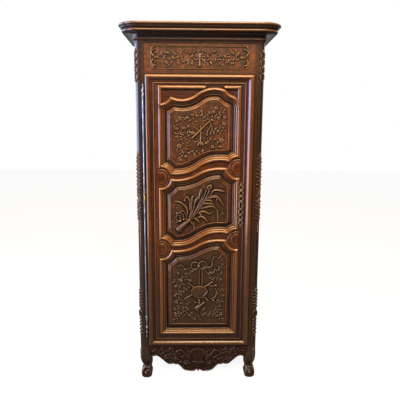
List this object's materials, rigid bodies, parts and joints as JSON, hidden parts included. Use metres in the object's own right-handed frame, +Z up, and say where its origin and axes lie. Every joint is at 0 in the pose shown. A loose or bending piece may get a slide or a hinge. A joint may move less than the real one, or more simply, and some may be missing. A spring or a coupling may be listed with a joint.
{
  "type": "bonnetiere cabinet",
  "caption": "Tall narrow walnut linen cupboard with a carved, S-railed door on a long rod hinge, shelves inside, a scalloped apron on scroll feet and a rounded moulded cornice.",
  "frame": {"origin": "on the floor, at the middle of the bounding box's bottom", "axes": "+X to the right as one faces the door, +Y from front to back, +Z up"},
  "size_m": [0.98, 0.59, 2.3],
  "materials": {
    "waxed_walnut": "hand-waxed walnut, glossy on the mouldings and dark in the carving",
    "plain_oak": "plain sawn oak, dry, inside and at the back",
    "polished_iron": "rubbed bright iron",
    "pierced_iron": "pierced and filed iron, worn",
    "lock_iron": "forged iron, dark"
  },
  "bodies": {
    "case": {"apron_rail": "waxed_walnut", "back_boards": "plain_oak", "back_bottom_rail": "plain_oak", "back_top_rail": "plain_oak", "case_ceiling": "plain_oak", "case_floor": "plain_oak", "case_pegs": "waxed_walnut", "cornice_corner_left": "waxed_walnut", "cornice_corner_right": "waxed_walnut", "cornice_dust_board": "plain_oak", "cornice_front": "waxed_walnut", "cornice_side_left": "waxed_walnut", "cornice_side_right": "waxed_walnut", "frieze_rail": "waxed_walnut", "front_post_left": "waxed_walnut", "front_post_right": "waxed_walnut", "hinge_bottom_knuckle": "polished_iron", "hinge_middle_knuckle": "polished_iron", "hinge_rod": "polished_iron", "hinge_top_knuckle": "polished_iron", "rear_post_left": "waxed_walnut", "rear_post_right": "waxed_walnut", "shelf_cleats": "plain_oak", "shelf_lower": "plain_oak", "shelf_middle": "plain_oak", "shelf_upper": "plain_oak", "side_bottom_rail_left": "waxed_walnut", "side_bottom_rail_right": "waxed_walnut", "side_lower_panel_left": "waxed_walnut", "side_lower_panel_right": "waxed_walnut", "side_middle_rail_left": "waxed_walnut", "side_middle_rail_right": "waxed_walnut", "side_top_rail_left": "waxed_walnut", "side_top_rail_right": "waxed_walnut", "side_upper_panel_left": "waxed_walnut", "side_upper_panel_right": "waxed_walnut", "strike_plate": "lock_iron", "strike_screws": "lock_iron"},
    "door": {"door_bottom_rail": "waxed_walnut", "door_curved_rail_lower": "waxed_walnut", "door_curved_rail_upper": "waxed_walnut", "door_moulding_bottom": "waxed_walnut", "door_moulding_left": "waxed_walnut", "door_moulding_right": "waxed_walnut", "door_moulding_top": "waxed_walnut", "door_panel_bottom": "waxed_walnut", "door_panel_middle": "waxed_walnut", "door_panel_top": "waxed_walnut", "door_pegs": "waxed_walnut", "door_stile_hinge": "waxed_walnut", "door_stile_lock": "waxed_walnut", "door_top_rail": "waxed_walnut", "escutcheon": "pierced_iron", "escutcheon_pins": "pierced_iron", "hinge_lower_barrel": "polished_iron", "hinge_upper_barrel": "polished_iron", "lock_case": "lock_iron", "lock_screws": "lock_iron"},
    "lock_bolt": {"lock_bolt": "lock_iron"}
  },
  "joints": [
    {"name": "door_hinge", "type": "hinge", "parent": "case", "child": "door", "pos_m": [-0.346, -0.209, 1.12], "axis": [0, 0, -1], "range_deg": [0, 165]},
    {"name": "bolt_slide", "type": "slide", "parent": "door", "child": "lock_bolt", "axis": [1, 0, 0], "range_m": [0, 0.014]}
  ]
}
